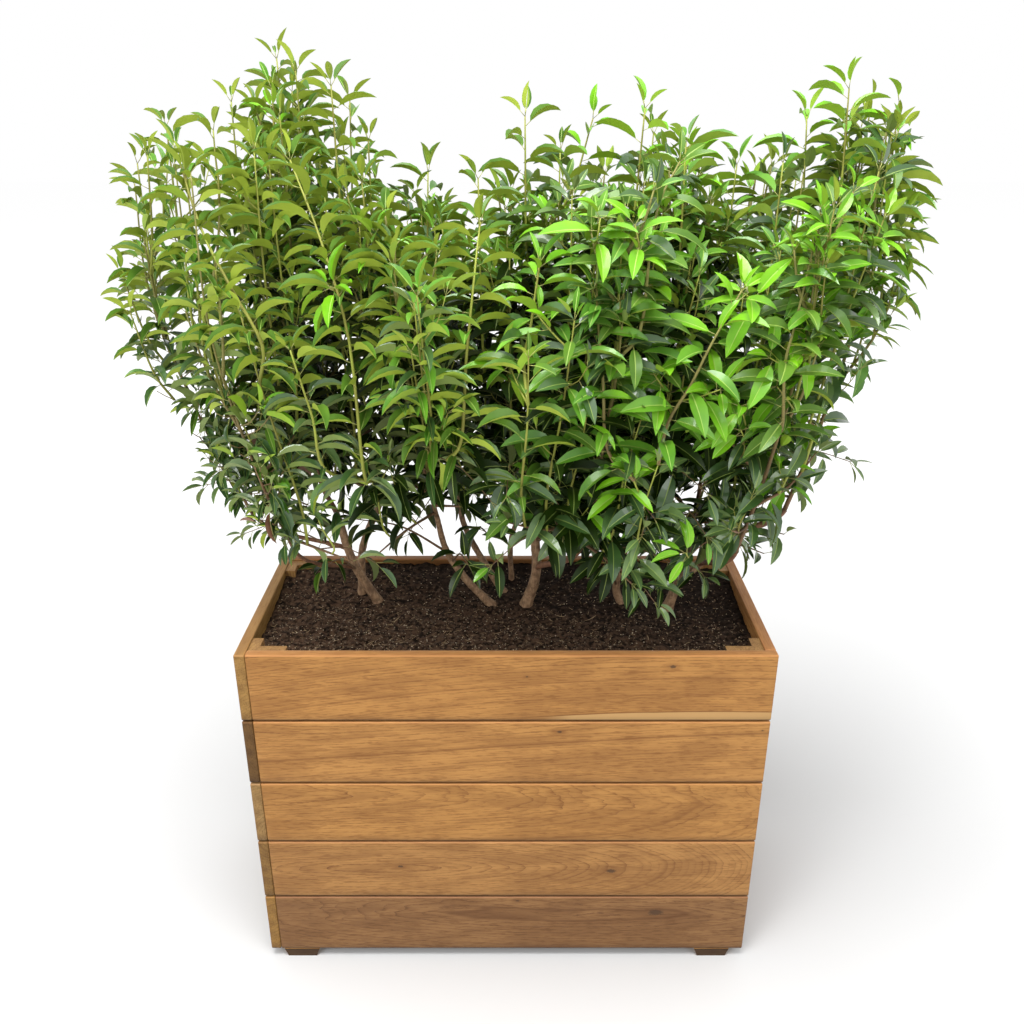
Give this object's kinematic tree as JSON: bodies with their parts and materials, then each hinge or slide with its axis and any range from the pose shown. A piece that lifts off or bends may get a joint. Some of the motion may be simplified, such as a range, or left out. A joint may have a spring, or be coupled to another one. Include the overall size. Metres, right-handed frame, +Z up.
{
  "type": "portuguese laurel shrub in a planter",
  "caption": "Evergreen Portuguese laurel with many upright leafy stems, growing as a broad bushy clump in a long rectangular hardwood plank planter filled with soil.",
  "frame": {"origin": "on the ground, under the middle of the planter", "axes": "+X along the planter, -Y out of its front, +Z up"},
  "size_m": [1.4694, 0.7515, 1.7816],
  "materials": {
    "board": "planed and oiled hardwood, satin",
    "post": "sawn hardwood, matt",
    "foot": "sawn hardwood, matt",
    "floor": "sawn hardwood, matt",
    "soil": "dark crumbly potting soil with pale fibres",
    "stem": "grey-brown bark with pores",
    "bough": "young red-brown bark",
    "foliage": "glossy evergreen leaves"
  },
  "bodies": {
    "root": {"board_front_1": "board", "board_front_2": "board", "board_front_3": "board", "board_front_4": "board", "board_front_5": "board", "board_right_1": "board", "board_right_2": "board", "board_right_3": "board", "board_right_4": "board", "board_right_5": "board", "board_back_1": "board", "board_back_2": "board", "board_back_3": "board", "board_back_4": "board", "board_back_5": "board", "board_left_1": "board", "board_left_2": "board", "board_left_3": "board", "board_left_4": "board", "board_left_5": "board", "corner_post_front_left": "post", "corner_post_front_right": "post", "corner_post_back_left": "post", "corner_post_back_right": "post", "foot_front_left": "foot", "foot_front_right": "foot", "foot_back_left": "foot", "foot_back_right": "foot", "floor_board": "floor", "soil": "soil", "stem_left_outer": "stem", "stem_left_inner": "stem", "stem_centre_lean": "stem", "stem_centre_back": "stem", "stem_centre_thin": "stem", "stem_centre_main": "stem", "stem_right_inner": "stem", "stem_right_outer": "stem", "bough_left_peak": "bough", "bough_left_end": "bough", "bough_front_left": "bough", "bough_back_left": "bough", "bough_centre": "bough", "bough_front_centre": "bough", "bough_right_end": "bough", "bough_front_right": "bough", "bough_back_right": "bough", "foliage_left_end": "foliage", "foliage_left_peak": "foliage", "foliage_front_left": "foliage", "foliage_back_left": "foliage", "foliage_front_centre_left": "foliage", "foliage_back_centre_left": "foliage", "foliage_centre": "foliage", "foliage_front_centre_right": "foliage", "foliage_back_centre_right": "foliage", "foliage_centre_right": "foliage", "foliage_front_right": "foliage", "foliage_back_right": "foliage", "foliage_right_end": "foliage"}
  },
  "joints": []
}
